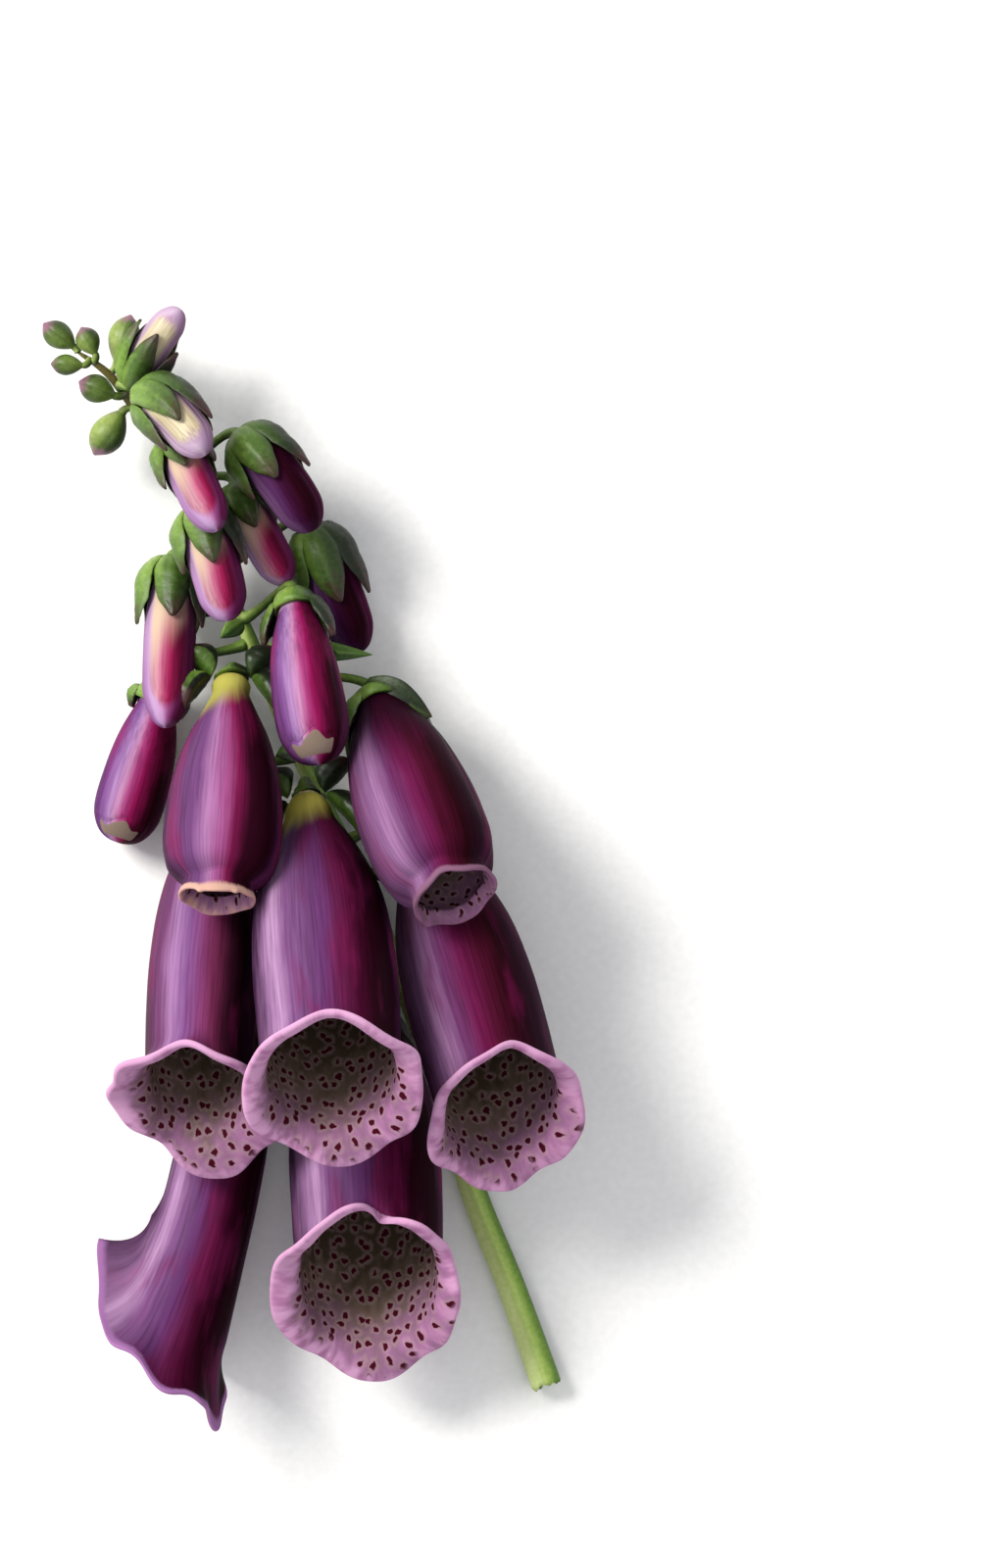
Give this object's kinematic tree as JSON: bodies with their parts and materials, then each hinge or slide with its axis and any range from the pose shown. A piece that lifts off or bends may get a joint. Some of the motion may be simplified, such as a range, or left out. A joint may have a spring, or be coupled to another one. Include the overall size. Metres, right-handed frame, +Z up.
{
  "type": "foxglove flower spike",
  "caption": "Cut foxglove flower spike lying on its back: purple bells with spotted throats overlap like roof tiles along the stem, with green calyces and young buds towards the tip.",
  "frame": {"origin": "centre of the footprint of the spike's box, on the surface that the spike lies on", "axes": "+Y from the cut end of the stem to the tip of the spike, +Z up from the surface it lies on"},
  "size_m": [0.0714, 0.1486, 0.0436],
  "materials": {
    "stem_green": "satin",
    "calyx_green": "matte",
    "petal_purple": "satin",
    "bud_pink": "satin",
    "bud_aubergine": "satin",
    "bud_cream": "satin",
    "pistil_cream": "matte",
    "stamen_cream": "matte",
    "young_green": "matte",
    "bract_green": "matte"
  },
  "bodies": {
    "root": {"stem": "stem_green", "bell_1_calyx": "calyx_green", "bell_1_corolla": "petal_purple", "bell_1_pistil": "pistil_cream", "bell_1_stamens": "stamen_cream", "bell_2_calyx": "calyx_green", "bell_2_corolla": "petal_purple", "bell_2_pistil": "pistil_cream", "bell_2_stamens": "stamen_cream", "bell_3_calyx": "calyx_green", "bell_3_corolla": "petal_purple", "bell_3_pistil": "pistil_cream", "bell_3_stamens": "stamen_cream", "bell_4_calyx": "calyx_green", "bell_4_corolla": "petal_purple", "bell_4_pistil": "pistil_cream", "bell_4_stamens": "stamen_cream", "bell_5_calyx": "calyx_green", "bell_5_corolla": "petal_purple", "bell_5_pistil": "pistil_cream", "bell_5_stamens": "stamen_cream", "bell_6_calyx": "calyx_green", "bell_6_corolla": "petal_purple", "bell_6_pistil": "pistil_cream", "bell_6_stamens": "stamen_cream", "bell_7_calyx": "calyx_green", "bell_7_corolla": "petal_purple", "bell_7_pistil": "pistil_cream", "bell_7_stamens": "stamen_cream", "bud_1_calyx": "calyx_green", "bud_1_corolla": "bud_pink", "bud_2_calyx": "calyx_green", "bud_2_corolla": "bud_pink", "bud_3_calyx": "calyx_green", "bud_3_corolla": "bud_pink", "bud_4_calyx": "calyx_green", "bud_4_corolla": "bud_aubergine", "bud_5_calyx": "calyx_green", "bud_5_corolla": "bud_pink", "bud_6_calyx": "calyx_green", "bud_6_corolla": "bud_pink", "bud_7_calyx": "calyx_green", "bud_7_corolla": "bud_aubergine", "bud_8_calyx": "calyx_green", "bud_8_corolla": "bud_pink", "bud_9_calyx": "calyx_green", "bud_9_corolla": "bud_pink", "bud_10_calyx": "calyx_green", "bud_10_corolla": "bud_cream", "tip_bud_1": "young_green", "tip_bud_2": "young_green", "tip_bud_3": "young_green", "tip_bud_4": "young_green", "tip_bud_5": "young_green", "tip_bud_6": "young_green", "bract_1": "bract_green", "bract_2": "bract_green", "bract_3": "bract_green", "bract_4": "bract_green", "bract_5": "bract_green"}
  },
  "joints": []
}
